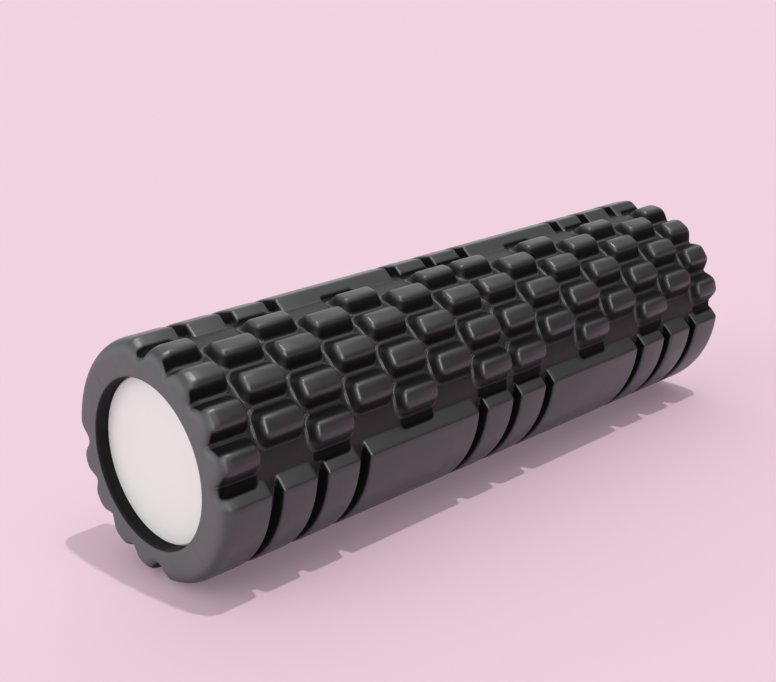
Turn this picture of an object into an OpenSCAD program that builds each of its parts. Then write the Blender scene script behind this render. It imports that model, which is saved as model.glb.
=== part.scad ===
// Textured foam roller: two moulded foam half shells bonded round a rigid hollow core that two caps close.
// The roller lies along X on the plane z = 0, and x = 0 is the middle of its length.
// It rests on the tops of an outermost row of blocks and on the crease of the plate beside that row.
// Blocks and plates are laid out from the middle of the length, in the same way toward both ends.

/* [Roller] */
// Diameter over the tops of the blocks and plates
roller_d = 139.7; // [130:0.1:150]
// Length of the foam from end to end
roller_len = 457.2; // [330:0.1:610]

/* [Foam] */
// Depth of the valleys between blocks, and of the grooves between plates
valley_depth = 7.7; // [6:0.1:8.5]
// Radius that rounds the outer edge of each end
end_round = 9; // [8:0.5:10]

/* [Blocks] */
// Angle from one row of blocks to the next, in degrees
row_pitch = 10.9; // [10:0.1:11]
// Width of a block's top round the roller, in degrees
block_top = 10.6; // [9:0.1:10.8]
// How much narrower the tops of the two outermost rows are, on the side of the plates, in degrees
last_row_trim = 1.3; // [0:0.1:2]
// Gap that a block's top leaves between itself and each end of its cell
block_inset = 3.2; // [3:0.1:4]
// Draft of the block's two long sides, in degrees
block_draft = 36; // [20:1:38]

/* [Plates] */
// Angle from the middle of a block zone to the foot of the plate's shoulder, in degrees
shoulder_foot = 45.5; // [44:0.5:47]
// Angle from the middle of a block zone to the crease where the plate is at full height, in degrees
shoulder_crease = 52; // [50:0.5:55]
// Width of the grooves between plates at the surface
groove_w = 7; // [5:0.5:8]
// Length that a short plate takes up along the roller, with half a groove at each end of it
short_plate = 31.7; // [28:0.1:36]
// Length that the plate at each end takes up, with half a groove
end_plate = 35.2; // [30:0.1:40]
// How far the pocket beside an outermost block cuts into the shoulder at the valley floor, in degrees
pocket_reach = 1.7; // [1:0.1:2.5]

/* [Core] */
// Outer diameter of the core tube, which is also the bore of the foam
core_d = 98; // [80:1:100]
// Wall thickness of the core tube
core_wall = 4; // [3:0.5:6]
// Depth of each end cap's face inside the end of the foam
cap_recess = 7.5; // [3:0.5:12]
// Thickness of an end cap's face plate
cap_plate = 3; // [2:0.5:5]
// Length of the skirt that plugs a cap into the core tube
cap_skirt = 15; // [8:1:25]

/* [Hidden] */
$fn = 96;

outer_r = roller_d / 2;
bore_r = core_d / 2;
valley_r = outer_r - valley_depth;
half_len = roller_len / 2;
// The valley floors are rounded a little less than the plates at the two ends.
valley_round = end_round - 1;
// Radius at which blocks and plates start inside the foam, so that they reach the flat end faces
root_r = valley_r - valley_round;
// How far cutting and trimming shapes run past the roller
over = 1;
// Length that each short end of a block, and each side of a groove, takes up from the surface to the valley
block_end_slope = 2.8;
groove_side_slope = 0.5;
// Angle by which a pocket's wall leans back from the valley floor to the surface
pocket_lean = 2.7;
// A pocket's gaps to the ends of its cell at the surface, and how much more it loses at the valley floor
pocket_inset = 2.6;
pocket_end_slope = 1;

// Blocks stand in equal cells, numbered from the middle. The end of the roller cuts the last cell short.
half_cells = 7;
end_cut = 3.45;
cell_len = (half_len + end_cut) / half_cells;
outer_rows = [-3, -1, 1, 3];
inner_rows = [-2, 0, 2];
outer_row_cells = [0, 2, 4, 6];
inner_row_cells = [1, 3, 5];

// Middles of the grooves between plates, from the middle of the roller to one end, and a last one past the end
end_groove = half_len - end_plate;
grooves = [0, short_plate, end_groove - 2 * short_plate, end_groove - short_plate, end_groove, half_len + groove_w];
plate_spans = [for (i = [0 : len(grooves) - 2]) [grooves[i], grooves[i + 1]]];

// Lying at rest, the lowest direction is halfway between the last row's outer edge and the crease.
last_row_edge = 3 * row_pitch + block_top / 2 - last_row_trim;
rest_angle = (last_row_edge + shoulder_crease) / 2;
axis_height = outer_r * cos((shoulder_crease - last_row_edge) / 2);

// End cap details
skirt_wall = 3;
cap_clearance = 0.3;
edge_chamfer = 1;
cap_face_x = half_len - cap_recess;
tube_end_x = cap_face_x - cap_plate;

// A point of the cross-section, from its radius and its angle
function polar(radius, angle) = [radius * cos(angle), radius * sin(angle)];

// The lengths along the roller that the given cells take up
function cell_spans(places) = [for (place = places) [place * cell_len, (place + 1) * cell_len]];

// Turns a shape built round the Z axis so that it lies along X, with its own X axis turned by angle above +Y
module lay_down(angle = 0) {
    translate([0, 0, axis_height])
        rotate([90, 0, 90])
            rotate([0, 0, angle])
                children();
}

// Half outline of the foam: from the bore out to radius, with both ends rounded
module sleeve_outline(radius, corner) {
    translate([bore_r, -half_len])
        square([radius - corner - bore_r, roller_len]);
    translate([bore_r, corner - half_len])
        square([radius - bore_r, roller_len - 2 * corner]);
    for (side = [-1, 1])
        translate([radius - corner, side * (half_len - corner)])
            circle(r = corner);
}

// Half ring of foam from the bore out to radius
module half_sleeve(radius, corner) {
    rotate([0, 0, -90])
        rotate_extrude(angle = 180)
            sleeve_outline(radius, corner);
}

// Rings round the roller that cover the given spans of one half of it and the same spans of the other half. Each
// stays a gap short of its span's ends at the surface, and widens by slope on the way down to the valley floor,
// or narrows where slope is negative.
// A ring whose span reaches the end of the roller runs past that end.
module rings(spans, gap, slope) {
    above = slope * over / valley_depth;
    below = slope * (outer_r - root_r + over) / valley_depth;
    for (span = spans, side = [0, 1]) {
        runs_out = span[1] > half_len;
        low = span[0] + gap;
        high = runs_out ? half_len + over : span[1] - gap;
        mirror([0, 0, side])
            rotate_extrude()
                polygon([
                    [root_r - over, low - below],
                    [outer_r + over, low + above],
                    [outer_r + over, runs_out ? high : high - above],
                    [root_r - over, runs_out ? high : high + below],
                ]);
    }
}

// Bar of the whole length, with the given cross-section
module long_bar() {
    translate([0, 0, -half_len - over])
        linear_extrude(height = roller_len + 2 * over)
            children();
}

// Cross-section of one row of blocks, tapered by the draft of its long sides, with trim taken off the upper one
module row_section(trim) {
    lower = outer_r * sin(block_top / 2);
    upper = outer_r * sin(block_top / 2 - trim);
    at_top = -over * tan(block_draft);
    at_root = (outer_r - root_r) * tan(block_draft);
    polygon([
        [root_r, -lower - at_root],
        [outer_r + over, -lower - at_top],
        [outer_r + over, upper + at_top],
        [root_r, upper + at_root],
    ]);
}

module block_rows(rows, places) {
    intersection() {
        rings(cell_spans(places), block_inset, block_end_slope);
        for (row = rows)
            mirror([0, row < 0 ? 1 : 0, 0])
                rotate([0, 0, abs(row) * row_pitch])
                    long_bar()
                        row_section(abs(row) == max(outer_rows) ? last_row_trim : 0);
    }
}

// Cross-section of the plates on one side of a block zone, from the shoulder's foot to the seam
module plate_section() {
    foot = polar(valley_r, shoulder_foot);
    crease = polar(outer_r, shoulder_crease);
    top = outer_r + over;
    along_shoulder = (top - foot[1]) / (crease[1] - foot[1]);
    polygon([
        polar(root_r, shoulder_foot),
        foot,
        [foot[0] + (crease[0] - foot[0]) * along_shoulder, top],
        [0, top],
        [0, root_r],
    ]);
}

// Cross-section of the pockets that the outermost blocks press into the shoulder
module pocket_section() {
    foot = polar(valley_r, shoulder_foot + pocket_reach);
    rim = polar(outer_r, shoulder_foot + pocket_reach + pocket_lean);
    deep = foot - 1.3 * (rim - foot);
    polygon([polar(root_r - over, last_row_edge), polar(outer_r + over, last_row_edge), rim, deep]);
}

module plate_band() {
    difference() {
        intersection() {
            rings(plate_spans, groove_w / 2, groove_side_slope);
            long_bar()
                plate_section();
        }
        intersection() {
            rings(cell_spans(outer_row_cells), pocket_inset, -pocket_end_slope);
            long_bar()
                pocket_section();
        }
    }
}

// One moulded half of the foam: a block zone facing +X between two half bands of plates
module foam_shell() {
    half_sleeve(valley_r, valley_round);
    intersection() {
        half_sleeve(outer_r, end_round);
        union() {
            block_rows(outer_rows, outer_row_cells);
            block_rows(inner_rows, inner_row_cells);
            plate_band();
            mirror([0, 1, 0])
                plate_band();
        }
    }
}

module front_foam_shell() {
    color("#2b292b")
        lay_down(90 + rest_angle)
            foam_shell();
}

module rear_foam_shell() {
    color("#2b292b")
        lay_down(rest_angle - 90)
            foam_shell();
}

// Straight tube with its four end edges broken
module core_tube() {
    bore = bore_r - core_wall;
    color("#e2dedb")
        lay_down()
            rotate_extrude()
                polygon([
                    [bore + edge_chamfer, -tube_end_x],
                    [bore_r - edge_chamfer, -tube_end_x],
                    [bore_r, edge_chamfer - tube_end_x],
                    [bore_r, tube_end_x - edge_chamfer],
                    [bore_r - edge_chamfer, tube_end_x],
                    [bore + edge_chamfer, tube_end_x],
                    [bore, tube_end_x - edge_chamfer],
                    [bore, edge_chamfer - tube_end_x],
                ]);
}

// Flat face plate with a chamfered rim, and a skirt that plugs into the tube, facing +Z
module end_cap() {
    rim_r = bore_r - cap_clearance;
    skirt_r = bore_r - core_wall;
    skirt_end = tube_end_x - cap_skirt;
    rotate_extrude()
        polygon([
            [0, cap_face_x],
            [rim_r - edge_chamfer, cap_face_x],
            [rim_r, cap_face_x - edge_chamfer],
            [rim_r, tube_end_x],
            [skirt_r + edge_chamfer, tube_end_x],
            [skirt_r, tube_end_x - edge_chamfer],
            [skirt_r, skirt_end + edge_chamfer],
            [skirt_r - edge_chamfer, skirt_end],
            [skirt_r - skirt_wall, skirt_end],
            [skirt_r - skirt_wall, tube_end_x],
            [0, tube_end_x],
        ]);
}

module left_end_cap() {
    color("#e9e4e1")
        lay_down()
            mirror([0, 0, 1])
                end_cap();
}

module right_end_cap() {
    color("#e9e4e1")
        lay_down()
            end_cap();
}

front_foam_shell();
rear_foam_shell();
core_tube();
left_end_cap();
right_end_cap();
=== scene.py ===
import math

import bpy
import numpy as np
from mathutils import Matrix, Vector


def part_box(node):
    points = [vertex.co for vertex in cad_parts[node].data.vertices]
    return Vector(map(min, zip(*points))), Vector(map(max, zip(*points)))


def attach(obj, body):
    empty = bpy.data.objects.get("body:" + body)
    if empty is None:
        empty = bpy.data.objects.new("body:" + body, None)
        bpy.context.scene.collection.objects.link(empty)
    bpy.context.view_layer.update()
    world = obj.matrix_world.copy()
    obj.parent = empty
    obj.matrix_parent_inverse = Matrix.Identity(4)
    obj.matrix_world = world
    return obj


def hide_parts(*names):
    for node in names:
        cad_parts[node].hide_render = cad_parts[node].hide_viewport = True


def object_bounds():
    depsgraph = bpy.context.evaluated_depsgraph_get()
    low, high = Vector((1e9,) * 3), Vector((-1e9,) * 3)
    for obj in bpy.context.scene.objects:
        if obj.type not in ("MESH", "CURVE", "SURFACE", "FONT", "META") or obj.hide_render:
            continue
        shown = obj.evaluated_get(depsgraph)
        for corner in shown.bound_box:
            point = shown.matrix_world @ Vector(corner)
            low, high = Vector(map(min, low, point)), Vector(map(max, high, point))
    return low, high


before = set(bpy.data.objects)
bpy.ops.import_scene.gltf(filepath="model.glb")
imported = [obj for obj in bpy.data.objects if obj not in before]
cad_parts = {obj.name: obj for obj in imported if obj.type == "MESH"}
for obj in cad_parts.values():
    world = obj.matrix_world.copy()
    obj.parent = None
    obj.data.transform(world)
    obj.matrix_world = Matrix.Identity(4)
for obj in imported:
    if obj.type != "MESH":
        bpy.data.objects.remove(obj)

cad_low, cad_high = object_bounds()
tube_low, tube_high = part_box("core_tube")

# ---- Sizes: the pattern is worked out in millimetres and degrees, like the CAD model's

MM = 0.001
HALF_LEN = cad_high.x / MM
BORE_R = (tube_high.y - tube_low.y) / 2 / MM
AXIS_Z = (tube_high.z + tube_low.z) / 2
OUTER_R = 69.85
VALLEY = 7.7
VALLEY_R = OUTER_R - VALLEY
DEGREE = math.radians(1) * OUTER_R

# Blocks: seven rows, in equal cells counted from the middle of the roller
ROW_PITCH = 10.9
OUTER_ROWS = (1, 3)
INNER_ROWS = (0, 2)
OUTER_ROW_CELLS = (0, 2, 4, 6)
INNER_ROW_CELLS = (1, 3, 5)
HALF_CELLS = 7
END_CUT = 3.45
CELL = (HALF_LEN + END_CUT) / HALF_CELLS
BLOCK_INSET = 3.2
BLOCK_HALF_TOP = 5.3
LAST_ROW_TRIM = 1.3
BLOCK_CORNER = 4.3

# Edges and walls: a bevel with soft edges runs round each top, and a wall falls from it to a fillet
BEVEL = 2.4
BEVEL_SLOPE = 0.45
EDGE = 1.1
WALL_DROP = 7.2
BLOCK_FILLET = 0.6
PLATE_FILLET = 1.0

# A thin raised lip runs round the foot of each block. Neighbours share it, and it fades out up the walls.
LIP_HEIGHT = 0.7
LIP_HALF_W = 0.8
LIP_CORNER = 7.5
LAST_ROW_LIP_TRIM = 0.7
LIP_FADE_DEPTH = 4.0

# Plates: bands of smooth foam on both sides of the seams between the two shells
SHOULDER_FOOT = 45.5
SHOULDER_CREASE = 52.0
CREASE_ROUND = 0.8
SHORT_PLATE = 31.7
END_PLATE = 35.2
GROOVE_W = 6.6
GROOVE_SLOPE = 12.0
POCKET_REACH = 1.7
POCKET_TRIM = 0.8
POCKET_SLOPE = 2.4
POCKET_CORNER = 2.2
POCKET_EDGE = 0.4
SEAM_DEPTH = 0.45
SEAM_W = 0.45
SEAM_FADE_DEPTH = 3.0

# Ends: every surface bends down to the flat end face over a rounding. On blocks and shoulders it has facets
# between the knots, and elsewhere it is a plain arc. The outline gets softer on its way to the end face.
PLATE_ROUND = 9.0
VALLEY_ROUND = 8.0
FACET_KNOTS = (0.0, 30.0, 47.0)
FACET_SOFT = 3.4
ARC_FROM = FACET_KNOTS[-1] + 10
FACETS_END = SHOULDER_CREASE + 1
FACETS_FADE = 1.5
OUTLINE_BLUR = 1.6
BLUR_TURN = 14.0
PAST_END = 12.0
BORE_EDGE = 0.8

# Painted shade: walls are painted near black where they lean more than this, given as a sine, and it fades in
# from there.
# The lean of a block's wall along the roller counts for less.
WALL_LEAN = 0.57
WALL_FADE = 0.16
LEAN_ALONG = 0.78
GROOVE_LEAN = 0.72
GROOVE_FADE = 0.16
SHOULDER_LEAN = 0.8
SHOULDER_FADE = 0.1

# Valley floors and the bore get a share of that painted shade, up to this far over them
VALLEY_SHADE = 0.55
VALLEY_BAND = 0.6
VALLEY_FADE = 0.3
BORE_SHADE = 0.85
BORE_BAND = 0.3

# Pockets get all of that painted shade, up to this far round them, from this many degrees past the last row's
# edge on
POCKET_BAND = 1.6
POCKETS_FROM = 5.0

# The painted shade stops this far short of the ends, and the plates' greyer colour, partly painted
# reflection, comes in over this many degrees
ENDS_FROM = 2.4
ENDS_FADE = 0.8
PLATE_FADE = 3.0

# Mesh: up to the first angle, lines need only the blocks' stations, and past the second only the plates'
BLOCKS_ONLY = 44.0
PLATES_ONLY = 55.0

# Lying at rest, the lowest direction is halfway between the last row's outer edge and the crease
LAST_ROW_EDGE = max(OUTER_ROWS) * ROW_PITCH + BLOCK_HALF_TOP - LAST_ROW_TRIM
REST_ANGLE = (LAST_ROW_EDGE + SHOULDER_CREASE) / 2


# ---- Foam surface, as a depth below the outer radius

def soft_ramp(t, w):
    """Zero below -w and t above w, with a smooth bend between the two."""
    return np.where(t > w, t, np.clip(t + w, 0, None) ** 2 / (4 * w))


def soft_min(a, b, w):
    """The smaller of two depths, with a fillet of width w where they cross."""
    h = np.clip(0.5 + 0.5 * (b - a) / w, 0, 1)
    return b + (a - b) * h - w * h * (1 - h)


def soft_max(a, b, w):
    """The larger of two depths, with the same fillet."""
    return -soft_min(-a, -b, w)


def outline(along, across, half_l, half_w, corner):
    """Distance outside a rounded rectangle, negative inside it."""
    dx = np.abs(along) - (half_l - corner)
    dy = np.abs(across) - (half_w - corner)
    return np.hypot(np.clip(dx, 0, None), np.clip(dy, 0, None)) + np.minimum(np.maximum(dx, dy), 0) - corner


def bevelled(out):
    """A flat top with a narrow bevel along its edge, level again outside it."""
    return BEVEL_SLOPE * (soft_ramp(out + BEVEL, EDGE) - soft_ramp(out, EDGE))


def cell_span(cell, inset):
    """Middle and half length of a cell less its insets; the last cell's runs past the end of the roller."""
    low = cell * CELL + inset
    high = HALF_LEN + PAST_END - inset if cell == HALF_CELLS - 1 else (cell + 1) * CELL - inset
    return (low + high) / 2, (high - low) / 2


def row_span(row, half_width, trim):
    """Middle and half width of a row in degrees, with trim taken off the plates' side of the last one."""
    trim = trim if row == max(OUTER_ROWS) else 0.0
    return row * ROW_PITCH - trim / 2, half_width - trim / 2


def block_depth(x, angle, row, cell):
    """Depth of a block and its walls, and the distance outside the lip round its foot."""
    out = []
    for inset, half_width, trim, corner in (
        (BLOCK_INSET, BLOCK_HALF_TOP, LAST_ROW_TRIM, BLOCK_CORNER),
        (0.0, ROW_PITCH, LAST_ROW_LIP_TRIM, LIP_CORNER),
    ):
        middle, half_l = cell_span(cell, inset)
        centre, half_w = row_span(row, half_width, trim)
        out.append(outline(x - middle, (angle - centre) * DEGREE, half_l, half_w * DEGREE, corner))
    top, lip = out
    least_width = 0.5
    width = np.maximum(top - lip, least_width)
    return bevelled(top) + WALL_DROP * soft_ramp(top / width, EDGE / width), lip


def valley_depth(x, angle):
    """Blocks, and the flat valley floor with the lips on it."""
    depth = np.full_like(angle, VALLEY)
    lip_at = np.full_like(angle, np.inf)
    for rows, cells in ((OUTER_ROWS, OUTER_ROW_CELLS), (INNER_ROWS, INNER_ROW_CELLS)):
        for row in rows:
            for cell in cells:
                block, lip = block_depth(x, angle, row, cell)
                depth = soft_min(depth, block, BLOCK_FILLET)
                lip_at = np.minimum(lip_at, np.abs(lip))
    raised = 0.5 + 0.5 * np.cos(np.pi * np.clip(lip_at / LIP_HALF_W, 0, 1))
    low_down = np.clip((depth - LIP_FADE_DEPTH) / (VALLEY - LIP_FADE_DEPTH), 0, 1)
    return depth - LIP_HEIGHT * raised * low_down


def groove_places():
    """Middles of the grooves between plates, from the middle of the roller to one end."""
    last = HALF_LEN - END_PLATE
    return [0.0, SHORT_PLATE, last - 2 * SHORT_PLATE, last - SHORT_PLATE, last]


def plate_depth(x, angle):
    """Plates, their grooves, and the flat shoulder from its foot up to its crease."""
    foot, crease = (
        np.array([r * math.cos(math.radians(a)), r * math.sin(math.radians(a))])
        for r, a in ((VALLEY_R, SHOULDER_FOOT), (OUTER_R, SHOULDER_CREASE))
    )
    normal = np.array([crease[1] - foot[1], foot[0] - crease[0]])
    # Far past the shoulder a radius would never meet its plane, so the angle stops short of that
    margin = 6
    turn = np.radians(np.clip(angle, SHOULDER_FOOT - margin, SHOULDER_CREASE + margin))
    ramp = OUTER_R - normal @ foot / (normal[0] * np.cos(turn) + normal[1] * np.sin(turn))
    into_groove = np.max([GROOVE_W / 2 - np.abs(x - place) for place in groove_places()], axis=0)
    return soft_ramp(ramp, CREASE_ROUND) + bevelled(into_groove) + GROOVE_SLOPE * soft_ramp(into_groove, EDGE)


def from_pocket(x, angle, cell):
    """Distance outside the pocket that a block of the last row presses into the ramp beside it."""
    middle, half_l = cell_span(cell, BLOCK_INSET + POCKET_TRIM)
    high = SHOULDER_FOOT + POCKET_REACH
    low = LAST_ROW_EDGE
    across = (angle - (low + high) / 2) * DEGREE
    return outline(x - middle, across, half_l, (high - low) / 2 * DEGREE, POCKET_CORNER)


def foam_depth(x, angle):
    """The whole surface, at a place along the roller and an angle from the middle of the block zone."""
    x, angle = np.abs(x), np.abs(angle)
    plates = plate_depth(x, angle)
    for cell in OUTER_ROW_CELLS:
        pocket = VALLEY - POCKET_SLOPE * soft_ramp(from_pocket(x, angle, cell), POCKET_EDGE)
        plates = soft_max(plates, pocket, POCKET_EDGE)
    return soft_min(valley_depth(x, angle), plates, PLATE_FILLET)


def seam_dip(angle):
    """Depth of the seam line where the two shells meet."""
    return SEAM_DEPTH * np.clip(1 - (90 - np.abs(angle)) / SEAM_W, 0, 1) ** 2


# ---- Mesh of one shell

def cylinder_stations():
    """Places along half the roller that carry mesh lines, and whether blocks or plates need each."""
    near_lip = (0.0, 0.2, 0.5, 0.9, 1.5, 2.1, 2.65, 3.2, 3.75, 4.3, 4.9, 5.5)
    near_groove = (-2.7, -2.2, -1.7, -1.2, -0.55, 0.0, 0.45, 0.7)
    end_margin = 0.8
    limit = HALF_LEN - PLATE_ROUND - end_margin
    lines = {}
    for cell in range(HALF_CELLS):
        for gap in near_lip:
            for x in (cell * CELL - gap, cell * CELL + gap):
                lines[round(x, 4)] = [True, x == 0]
    for place in groove_places():
        for side in (-1, 1):
            for gap in near_groove:
                x = round(place + side * (GROOVE_W / 2 - gap), 4)
                lines.setdefault(x, [False, False])[1] = True
    kept = sorted(x for x in lines if 0 <= x < limit)
    return kept, [lines[x] for x in kept]


def row_lines():
    """Angles from the middle of the block zone that carry mesh lines, on one side of it."""
    near_row = (0.0, 0.18, 0.45, 0.85, 1.4, 2.1, 2.8, 3.45, 3.9, 4.35, 4.85, 5.3)
    near_last_edge = (-1.85, -1.4, -0.95, -0.45, 0, 0.45, 1.3, 2.3, 3.2, 4.0, 4.7, 5.3, 5.75)
    lip_and_pocket = (42.72, 42.9, 43.1, 43.4, 43.8, 44.3, 44.8, 45.2, 45.6, 46.0, 46.5, 46.9, 47.2, 47.5)
    shoulder = (47.9, 48.3, 48.8, 49.6, 50.4, 51.0, 51.5, 52.0, 52.5, 53.0, 54.0, 55.2)
    plate = (58.0, 61.0, 64.5, 68.0, 71.5, 75.0, 78.5, 82.0, 85.5, 88.0)
    seam = (89.2, 89.55, 89.7, 89.85, 90.0)
    edge_gap = 2.2
    all_rows = range(max(OUTER_ROWS) + 1)
    lines = [row * ROW_PITCH + side * gap for row in all_rows for side in (-1, 1) for gap in near_row]
    lines = [line for line in lines if 0 <= line < LAST_ROW_EDGE - edge_gap]
    lines += [LAST_ROW_EDGE + gap for gap in near_last_edge]
    lines += lip_and_pocket + shoulder + plate + seam
    return sorted({round(line, 4) for line in lines})


def end_point(radius, corner, turn, facets):
    """Distance from the end plane, and radius, of the point where an end rounding has turned by an angle."""
    def on_arc(t):
        t = np.radians(t)
        return np.array([corner * (1 - np.sin(t)), radius - corner + corner * np.cos(t)])

    def on_facets(t):
        if t >= FACET_KNOTS[-1]:
            return on_arc(t)
        k = 0 if t < FACET_KNOTS[1] else 1
        low, high = FACET_KNOTS[k], FACET_KNOTS[k + 1]
        share = (t - low) / (high - low)
        return on_arc(low) * (1 - share) + on_arc(high) * share

    if not facets or turn > ARC_FROM:
        return on_arc(turn)
    around = [on_facets(t) for t in (turn - FACET_SOFT, turn, turn + FACET_SOFT)]
    return (around[0] + 2 * around[1] + around[2]) / 4


def end_depth(angle):
    """Depth at the end of the roller, and the same blurred as the end face's soft outline is."""
    step = 0.25
    reach = 24
    grid = np.arange(-100, 100, step)
    at_grid = foam_depth(np.full_like(grid, HALF_LEN), grid)
    weight = np.exp(-(np.arange(-reach, reach + 1) * step) ** 2 / (2 * OUTLINE_BLUR ** 2))
    blurred = np.convolve(np.pad(at_grid, reach, mode="edge"), weight / weight.sum(), mode="valid")
    return foam_depth(np.full_like(angle, HALF_LEN), angle), np.interp(angle, grid, blurred)


def half_section(angle):
    """Loop of stations from the middle of the outer surface, round the end and back inside the bore.

    Gives x and radius for every station and angle, and which stations the blocks and the plates need.
    """
    places, needs = cylinder_stations()
    dip = seam_dip(angle)
    xs = [np.full_like(angle, x) for x in places]
    depths = [foam_depth(x, angle) for x in xs]
    rs = [OUTER_R - depth - dip * np.clip(1 - depth / SEAM_FADE_DEPTH, 0, 1) for depth in depths]
    sharp, soft = end_depth(angle)
    facet_share = np.clip((FACETS_END - np.abs(angle)) / FACETS_FADE, 0, 1)
    turns = (2, 9, 16, 23, 27.5, 30, 32.5, 38.5, 44.5, 47, 49.5, 54, 60, 66, 73, 80, 86, 90)
    for turn in turns:
        blur = np.clip((turn - FACET_KNOTS[-1]) / BLUR_TURN, 0, 1)
        share = (sharp * (1 - blur) + soft * blur) / VALLEY
        point = 0
        for facets, weight in ((True, facet_share), (False, 1 - facet_share)):
            top = end_point(OUTER_R, PLATE_ROUND, turn, facets)[:, None]
            floor = end_point(VALLEY_R, VALLEY_ROUND, turn, facets)[:, None]
            point = point + weight * (top + (floor - top) * share)
        lean = math.radians(turn)
        xs.append(HALF_LEN - point[0] - dip * math.sin(lean))
        rs.append(point[1] - dip * math.cos(lean))
    face_r = rs[-1]
    for inward in (0.45, 0.93):
        xs.append(HALF_LEN - dip)
        rs.append(face_r + (BORE_R + BORE_EDGE - face_r) * inward)
    # Round the edge of the bore, then into it past the cap's face
    for inset, rise in ((0.0, BORE_EDGE), (0.25, 0.25), (0.9, 0.0), (14.0, 0.0)):
        xs.append(HALF_LEN - inset - dip * (inset < 1))
        rs.append(np.full_like(angle, BORE_R + rise))
    needs = needs + [[True, True]] * (len(xs) - len(places))
    return np.array(xs), np.array(rs), np.array(needs)


def mark_shade_and_plates(mesh, middle_angle):
    """Point attributes: how much painted shade a point has, on walls, valley floors, pockets and the bore,
    and 1 on the smooth plates.
    """
    places = np.empty(len(mesh.vertices) * 3)
    mesh.vertices.foreach_get("co", places)
    x, y, z = places.reshape(-1, 3).T / MM
    z = z - AXIS_Z / MM
    normals = np.empty(len(mesh.vertices) * 3)
    mesh.vertex_normals.foreach_get("vector", normals)
    lean_x, ny, nz = normals.reshape(-1, 3).T
    radius = np.hypot(y, z)
    from_middle = np.abs((np.degrees(np.arctan2(y, z)) - middle_angle + 180) % 360 - 180)
    lean_round = np.abs(ny * z - nz * y) / radius
    steep_block = (np.hypot(LEAN_ALONG * lean_x, lean_round) - WALL_LEAN) / WALL_FADE
    steep_shoulder = (lean_round - SHOULDER_LEAN) / SHOULDER_FADE
    steep_groove = (np.abs(lean_x) - GROOVE_LEAN) / GROOVE_FADE
    steep_plate = np.maximum(steep_shoulder, steep_groove)
    among_blocks = from_middle < SHOULDER_FOOT - 1
    steep = np.clip(np.where(among_blocks, steep_block, steep_plate), 0, 1)
    on_floor = VALLEY_SHADE * np.clip((VALLEY_R + VALLEY_BAND - radius) / VALLEY_FADE, 0, 1)
    from_pockets = np.min([from_pocket(np.abs(x), from_middle, cell) for cell in OUTER_ROW_CELLS], axis=0)
    past_row = np.clip(from_middle - LAST_ROW_EDGE - POCKETS_FROM, 0, 1)
    in_pocket = np.clip(POCKET_BAND - from_pockets, 0, 1) * past_row
    before_end = np.clip((HALF_LEN - ENDS_FROM - np.abs(x)) / ENDS_FADE, 0, 1)
    # Painted shade: steep walls, valley floors and pockets get this share of near black, and the bore a fixed
    # share
    shade_mask = np.max([steep, on_floor, in_pocket], axis=0) * before_end
    wall = np.where(radius < BORE_R + BORE_BAND, BORE_SHADE, shade_mask)
    plate = np.clip((from_middle - SHOULDER_CREASE) / PLATE_FADE, 0, 1)
    for name, values in (("wall", wall), ("plate", plate)):
        mesh.attributes.new(name, "FLOAT", "POINT").data.foreach_set("value", values)


def foam_shell(name, middle_angle):
    """One closed half shell, whose block zone faces middle_angle degrees from straight up toward +Y."""
    side = row_lines()
    angle = np.array([-a for a in side[:0:-1]] + side)
    half_x, half_r, half_needs = half_section(angle)
    x = np.concatenate([-half_x[:0:-1], half_x])
    r = np.concatenate([half_r[:0:-1], half_r])
    needs = np.concatenate([half_needs[:0:-1], half_needs])

    theta = np.radians(middle_angle + angle)
    points = np.stack([x * MM, r * np.sin(theta) * MM, AXIS_Z + r * np.cos(theta) * MM], axis=-1)

    used = []
    for a in np.abs(angle):
        if a < BLOCKS_ONLY:
            wanted = needs[:, 0]
        elif a > PLATES_ONLY:
            wanted = needs[:, 1]
        else:
            wanted = needs.any(axis=1)
        used.append(np.flatnonzero(wanted))
    index = {}
    verts = []
    for j, stations in enumerate(used):
        for i in stations:
            index[i, j] = len(verts)
            verts.append(points[i, j])

    faces = [[index[i, 0] for i in used[0][::-1]]]
    faces.append([index[i, len(angle) - 1] for i in used[-1]])
    total = len(x)
    for j in range(len(angle) - 1):
        here, there = (j, j + 1) if len(used[j]) <= len(used[j + 1]) else (j + 1, j)
        coarse, fine = used[here], set(used[there])
        for k, start in enumerate(coarse):
            stop = coarse[(k + 1) % len(coarse)]
            run = [i % total for i in range(start, start + (stop - start) % total + 1)]
            face = [index[stop, here], index[start, here]] + [index[i, there] for i in run if i in fine]
            faces.append(face[::-1] if here == j else face)

    mesh = bpy.data.meshes.new(name)
    mesh.from_pydata(verts, [], faces)
    mesh.validate()
    mesh.shade_smooth()
    mark_shade_and_plates(mesh, middle_angle)
    obj = bpy.data.objects.new(name, mesh)
    bpy.context.collection.objects.link(obj)
    return obj


# ---- Materials

def material(name):
    """A new material with its nodes, its links and its shader."""
    mat = bpy.data.materials.new(name)
    mat.use_nodes = True
    return mat, mat.node_tree.nodes, mat.node_tree.links, mat.node_tree.nodes["Principled BSDF"]


def noise(nodes, links, scale, detail):
    """Noise over a piece's own coordinates, with scale in waves per metre."""
    coords = nodes.new("ShaderNodeTexCoord")
    node = nodes.new("ShaderNodeTexNoise")
    node.inputs["Scale"].default_value = scale
    node.inputs["Detail"].default_value = detail
    node.inputs["Roughness"].default_value = 0.55
    links.new(coords.outputs["Object"], node.inputs["Vector"])
    return node.outputs["Fac"]


def mapped(nodes, links, value, low, high, start=0.3, stop=0.7):
    """A value's range from start to stop, turned into the range from low to high."""
    node = nodes.new("ShaderNodeMapRange")
    node.inputs["From Min"].default_value = start
    node.inputs["From Max"].default_value = stop
    node.inputs["To Min"].default_value = low
    node.inputs["To Max"].default_value = high
    links.new(value, node.inputs["Value"])
    return node.outputs["Result"]


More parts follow.
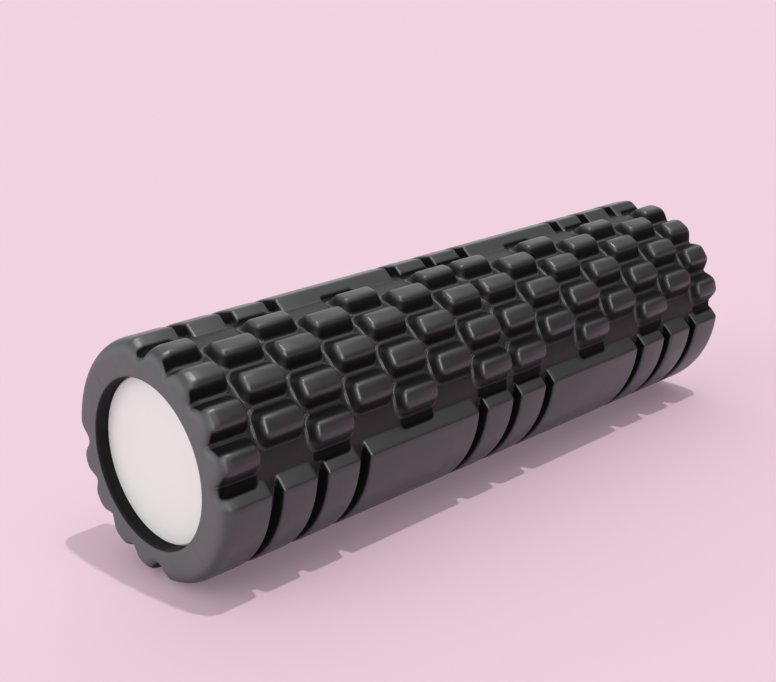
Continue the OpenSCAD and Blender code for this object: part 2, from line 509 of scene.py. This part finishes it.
def mixed(nodes, links, value, first, second):
    """Mixes two colours, each given as numbers or as another node's output."""
    node = nodes.new("ShaderNodeMix")
    node.data_type = "RGBA"
    for socket, colour in (("A", first), ("B", second)):
        if isinstance(colour, tuple):
            node.inputs[socket].default_value = (*colour, 1)
        else:
            links.new(colour, node.inputs[socket])
    links.new(value, node.inputs["Factor"])
    return node.outputs["Result"]


def attribute(nodes, name):
    node = nodes.new("ShaderNodeAttribute")
    node.attribute_name = name
    return node.outputs["Fac"]


def added(nodes, links, value, extra, share):
    """A value plus a share of another one."""
    node = nodes.new("ShaderNodeMath")
    node.operation = "MULTIPLY_ADD"
    node.inputs[1].default_value = share
    links.new(extra, node.inputs[0])
    links.new(value, node.inputs[2])
    return node.outputs["Value"]


def bump(nodes, links, height, strength, distance, normal=None):
    node = nodes.new("ShaderNodeBump")
    node.inputs["Strength"].default_value = strength
    node.inputs["Distance"].default_value = distance
    links.new(height, node.inputs["Height"])
    if normal is not None:
        links.new(normal, node.inputs["Normal"])
    return node.outputs["Normal"]


def end_zone(nodes, links, start, stop):
    """Rises from 0 to 1 toward the end face, between two distances from it in millimetres."""
    coords = nodes.new("ShaderNodeTexCoord")
    parts = nodes.new("ShaderNodeSeparateXYZ")
    links.new(coords.outputs["Object"], parts.inputs["Vector"])
    along = nodes.new("ShaderNodeMath")
    along.operation = "ABSOLUTE"
    links.new(parts.outputs["X"], along.inputs[0])
    first, last = (HALF_LEN - start) * MM, (HALF_LEN - stop) * MM
    return mapped(nodes, links, along.outputs["Value"], low=0, high=1, start=first, stop=last)


def foam_material():
    """Moulded black EVA foam: satin with a fine grain, with painted shade on walls, valley floors, pockets
    and the bore, plates lightened partly as painted reflection, and duller and greyer at the ends.
    """
    mat, nodes, links, shader = material("foam_skin")
    cloud = noise(nodes, links, scale=38, detail=3)
    grain = noise(nodes, links, scale=900, detail=2)
    skin = noise(nodes, links, scale=160, detail=4)
    at_end = end_zone(nodes, links, start=2.6, stop=0.8)
    near_end = end_zone(nodes, links, start=6.5, stop=3.5)
    on_wall = attribute(nodes, "wall")
    moulded = mixed(nodes, links, cloud, (0.019, 0.0185, 0.0195), (0.027, 0.026, 0.0275))
    # The smooth plates have a greyer skin tone, lifted lighter as painted reflection of the floor
    smooth = mixed(nodes, links, cloud, (0.040, 0.053, 0.057), (0.049, 0.062, 0.066))
    # The foam turns lighter and greyer toward the end face
    end_face_grey = mixed(nodes, links, cloud, (0.083, 0.094, 0.096), (0.103, 0.114, 0.116))
    colour = mixed(nodes, links, attribute(nodes, "plate"), moulded, smooth)
    colour = mixed(nodes, links, at_end, colour, end_face_grey)
    # Painted shade: walls, valley floors, pockets and the bore go near black
    colour = mixed(nodes, links, on_wall, colour, (0.0030, 0.0029, 0.0030))
    links.new(colour, shader.inputs["Base Color"])
    # Painted shade: reflections on the same places are cut down
    shine = mixed(nodes, links, on_wall, (1.0, 1.0, 1.0), (0.08, 0.08, 0.08))
    links.new(shine, shader.inputs["Specular Tint"])
    rough = mapped(nodes, links, skin, low=0.35, high=0.43)
    rough = added(nodes, links, rough, near_end, share=0.2)
    rough = added(nodes, links, rough, on_wall, share=0.35)
    links.new(rough, shader.inputs["Roughness"])
    relief = bump(nodes, links, skin, strength=0.25, distance=0.0003)
    relief = bump(nodes, links, grain, strength=0.2, distance=0.0001, normal=relief)
    links.new(relief, shader.inputs["Normal"])
    shader.inputs["Specular IOR Level"].default_value = 0.75
    return mat


def plastic_material(name, first, second, roughness):
    """Moulded plastic with a very fine grain, whose colour wanders between two close ones."""
    mat, nodes, links, shader = material(name)
    cloud = noise(nodes, links, scale=22, detail=3)
    grain = noise(nodes, links, scale=1400, detail=2)
    colour = mixed(nodes, links, cloud, first, second)
    links.new(colour, shader.inputs["Base Color"])
    spread = 0.05
    rough = mapped(nodes, links, grain, low=roughness - spread, high=roughness + spread)
    links.new(rough, shader.inputs["Roughness"])
    relief = bump(nodes, links, grain, strength=0.12, distance=0.0001)
    links.new(relief, shader.inputs["Normal"])
    return mat


def floor_material():
    """Plain pale paper that glows a little, so that shadows on it stay light."""
    mat, nodes, links, shader = material("paper_floor")
    cloud = noise(nodes, links, scale=3, detail=2)
    colour = mixed(nodes, links, cloud, (0.620, 0.448, 0.521), (0.629, 0.455, 0.528))
    links.new(colour, shader.inputs["Base Color"])
    shader.inputs["Emission Color"].default_value = (0.879, 0.645, 0.745, 1)
    shader.inputs["Emission Strength"].default_value = 0.2
    shader.inputs["Roughness"].default_value = 0.9
    shader.inputs["Specular IOR Level"].default_value = 0.0
    return mat


# ---- Pieces

foam = foam_material()
for name, node, middle_angle in (
    ("front_shell_foam", "front_foam_shell", -REST_ANGLE),
    ("rear_shell_foam", "rear_foam_shell", 180 - REST_ANGLE),
):
    shell = foam_shell(name, middle_angle)
    shell.data.materials.append(foam)
    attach(shell, "root")
    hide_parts(node)

cap_plastic = plastic_material("cap_plastic", (0.90, 0.95, 0.91), (0.91, 0.96, 0.92), roughness=0.5)
tube_plastic = plastic_material("tube_plastic", (0.74, 0.73, 0.72), (0.78, 0.77, 0.76), roughness=0.55)
for node, mat in (("left_end_cap", cap_plastic), ("right_end_cap", cap_plastic), ("core_tube", tube_plastic)):
    mesh = bpy.data.objects[node].data
    mesh.materials.clear()
    mesh.materials.append(mat)


# ---- Floor, light and camera

def plain_floor():
    """A flat floor that fills every view from more than about 15 degrees up."""
    half = 30.0
    mesh = bpy.data.meshes.new("floor")
    corners = [(-half, -half, 0), (half, -half, 0), (half, half, 0), (-half, half, 0)]
    mesh.from_pydata(corners, [], [(0, 1, 2, 3)])
    mesh.materials.append(floor_material())
    floor = bpy.data.objects.new("floor", mesh)
    bpy.context.collection.objects.link(floor)


def key_light(toward, strength, width):
    """One hard light high above, in the given direction, whose shadow stays just under the roller."""
    data = bpy.data.lights.new("key", "SUN")
    data.energy = strength
    data.angle = math.radians(width)
    light = bpy.data.objects.new("key", data)
    light.rotation_euler = Vector(toward).to_track_quat("Z", "Y").to_euler()
    bpy.context.collection.objects.link(light)


def strip_light(place, target, width, height, power):
    """A tall softbox that only shows as a highlight."""
    data = bpy.data.lights.new("strip", "AREA")
    data.shape = "RECTANGLE"
    data.size, data.size_y = width, height
    data.energy = power
    light = bpy.data.objects.new("strip", data)
    light.location = place
    light.rotation_euler = (Vector(target) - Vector(place)).to_track_quat("-Z", "Y").to_euler()
    light.visible_diffuse = False
    bpy.context.collection.objects.link(light)


def studio(dim, glows):
    """Dim surroundings with broad soft glows: where each is, its half width in degrees and its strength."""
    world = bpy.data.worlds.new("studio")
    world.use_nodes = True
    nodes, links = world.node_tree.nodes, world.node_tree.links
    coords = nodes.new("ShaderNodeTexCoord")
    total = None
    for toward, width, strength in glows:
        dot = nodes.new("ShaderNodeVectorMath")
        dot.operation = "DOT_PRODUCT"
        dot.inputs[1].default_value = Vector(toward).normalized()
        links.new(coords.outputs["Generated"], dot.inputs[0])
        glow = nodes.new("ShaderNodeMapRange")
        glow.interpolation_type = "SMOOTHSTEP"
        glow.inputs["From Min"].default_value = math.cos(math.radians(width))
        glow.inputs["To Max"].default_value = strength
        links.new(dot.outputs["Value"], glow.inputs["Value"])
        add = nodes.new("ShaderNodeMath")
        add.inputs[0].default_value = dim
        if total is not None:
            links.new(total, add.inputs[0])
        links.new(glow.outputs["Result"], add.inputs[1])
        total = add.outputs["Value"]
    links.new(total, nodes["Background"].inputs["Strength"])
    nodes["Background"].inputs["Color"].default_value = (0.98, 0.995, 0.985, 1)
    bpy.context.scene.world = world


def photo_camera():
    """Stands where the photographer did: place is in outer radii from the middle of the near end.

    The photo's fit has the roller at another angle about its axis, so the camera turns by the difference.
    """
    fit_angle = 41.75
    unit = OUTER_R * MM
    place = Vector((-5.20042, -7.97885, 4.32855)) * unit
    right = Vector((0.71402, -0.70013, 0.0))
    up = Vector((0.23392, 0.23857, 0.94253))
    turn = Matrix.Rotation(math.radians(REST_ANGLE - fit_angle), 3, "X")
    near_end = Vector((-HALF_LEN * MM, 0, AXIS_Z))
    right, up = turn @ right, turn @ up
    axes = Matrix((right, up, right.cross(up))).transposed()
    data = bpy.data.cameras.new("camera")
    data.sensor_width = 36.0
    data.lens = 61.4
    camera = bpy.data.objects.new("camera", data)
    camera.matrix_world = Matrix.Translation(near_end + turn @ place) @ axes.to_4x4()
    bpy.context.collection.objects.link(camera)
    bpy.context.scene.camera = camera


plain_floor()
photo_camera()
key_light(toward=(0.12, -0.2, 1.0), strength=1.3, width=1.6)
strip_light(place=(-1.0, -1.35, 0.95), target=(0, 0, 0.07), width=0.4, height=1.9, power=34)
top_glow = ((0.15, 0.1, 1), 70, 0.72)
left_glow = ((-1, 0.35, 0.15), 56, 1.7)
back_glow = ((0.6, 0.8, 0.3), 55, 0.9)
studio(dim=0.1, glows=(top_glow, left_glow, back_glow))
bpy.context.scene.view_settings.view_transform = "Standard"
